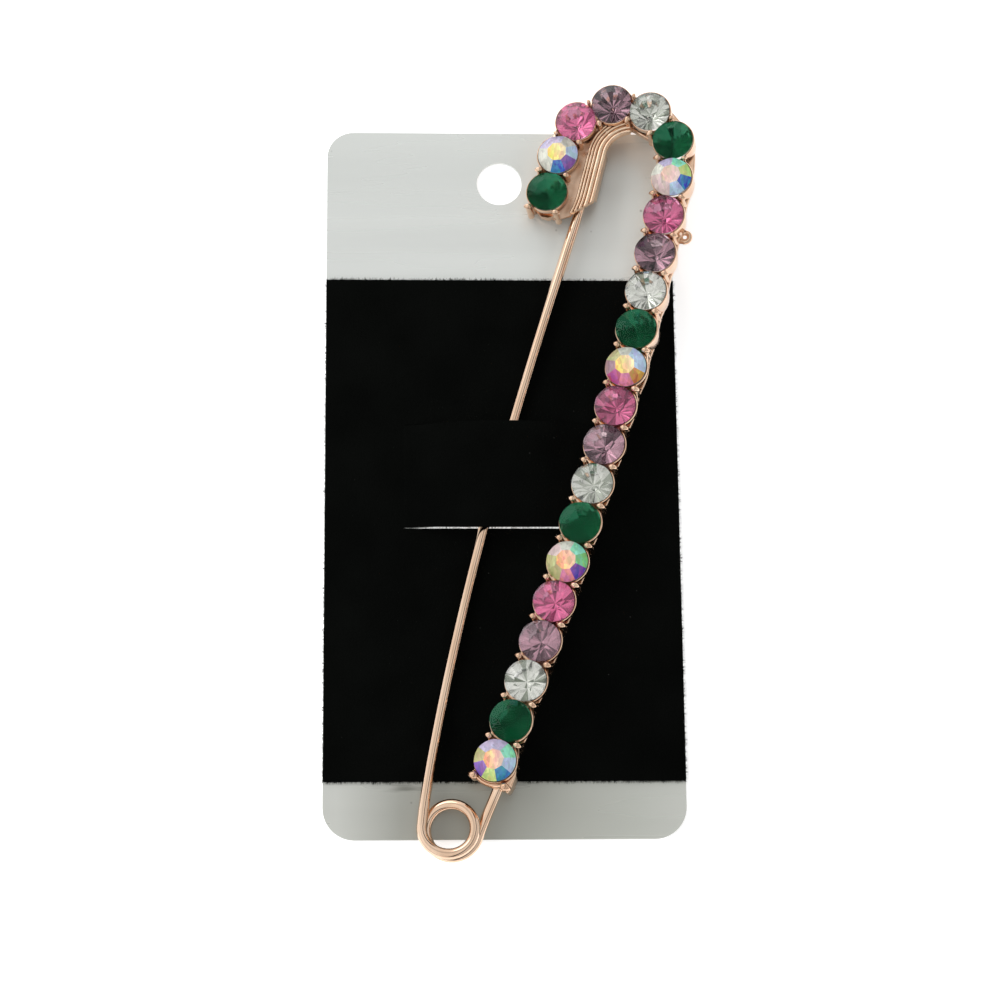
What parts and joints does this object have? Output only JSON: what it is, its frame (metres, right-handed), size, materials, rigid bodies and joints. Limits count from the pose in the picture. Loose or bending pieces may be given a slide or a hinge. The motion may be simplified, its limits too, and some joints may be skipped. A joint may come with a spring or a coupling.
{
  "type": "safety pin brooch on display card",
  "caption": "Hooked safety pin brooch with a row of round cut stones in cups, its sprung pin threaded behind the slit strip of a flocked hang card.",
  "frame": {"origin": "middle of the whole part's box, on the back face of the card", "axes": "+Z out of the card's front, +Y along the card towards the hang hole, +X towards the brooch's hook"},
  "size_m": [0.0378, 0.0786, 0.0073],
  "materials": {
    "rose_gold_cast": "bright light rose-gold plating on a cast setting",
    "rose_gold_wire": "polished light rose-gold spring wire",
    "card_plastic": "satin silver-grey sheet with fine scuffs",
    "velvet": "black flock with short pile",
    "stone_green": "faceted foil-backed dark green glass",
    "stone_aurora": "faceted foil-backed glass with an iridescent coating",
    "stone_pink": "faceted foil-backed pink glass",
    "stone_mauve": "faceted foil-backed light mauve glass",
    "stone_clear": "faceted foil-backed clear glass"
  },
  "bodies": {
    "root": {"hook_bar": "rose_gold_cast", "pin_wire": "rose_gold_wire", "card": "card_plastic", "velvet_pad": "velvet", "stone_01": "stone_green", "stone_02": "stone_aurora", "stone_03": "stone_pink", "stone_04": "stone_mauve", "stone_05": "stone_clear", "stone_06": "stone_green", "stone_07": "stone_aurora", "stone_08": "stone_pink", "stone_09": "stone_mauve", "stone_10": "stone_clear", "stone_11": "stone_green", "stone_12": "stone_aurora", "stone_13": "stone_pink", "stone_14": "stone_mauve", "stone_15": "stone_clear", "stone_16": "stone_green", "stone_17": "stone_aurora", "stone_18": "stone_pink", "stone_19": "stone_mauve", "stone_20": "stone_clear", "stone_21": "stone_green", "stone_22": "stone_aurora"}
  },
  "joints": []
}
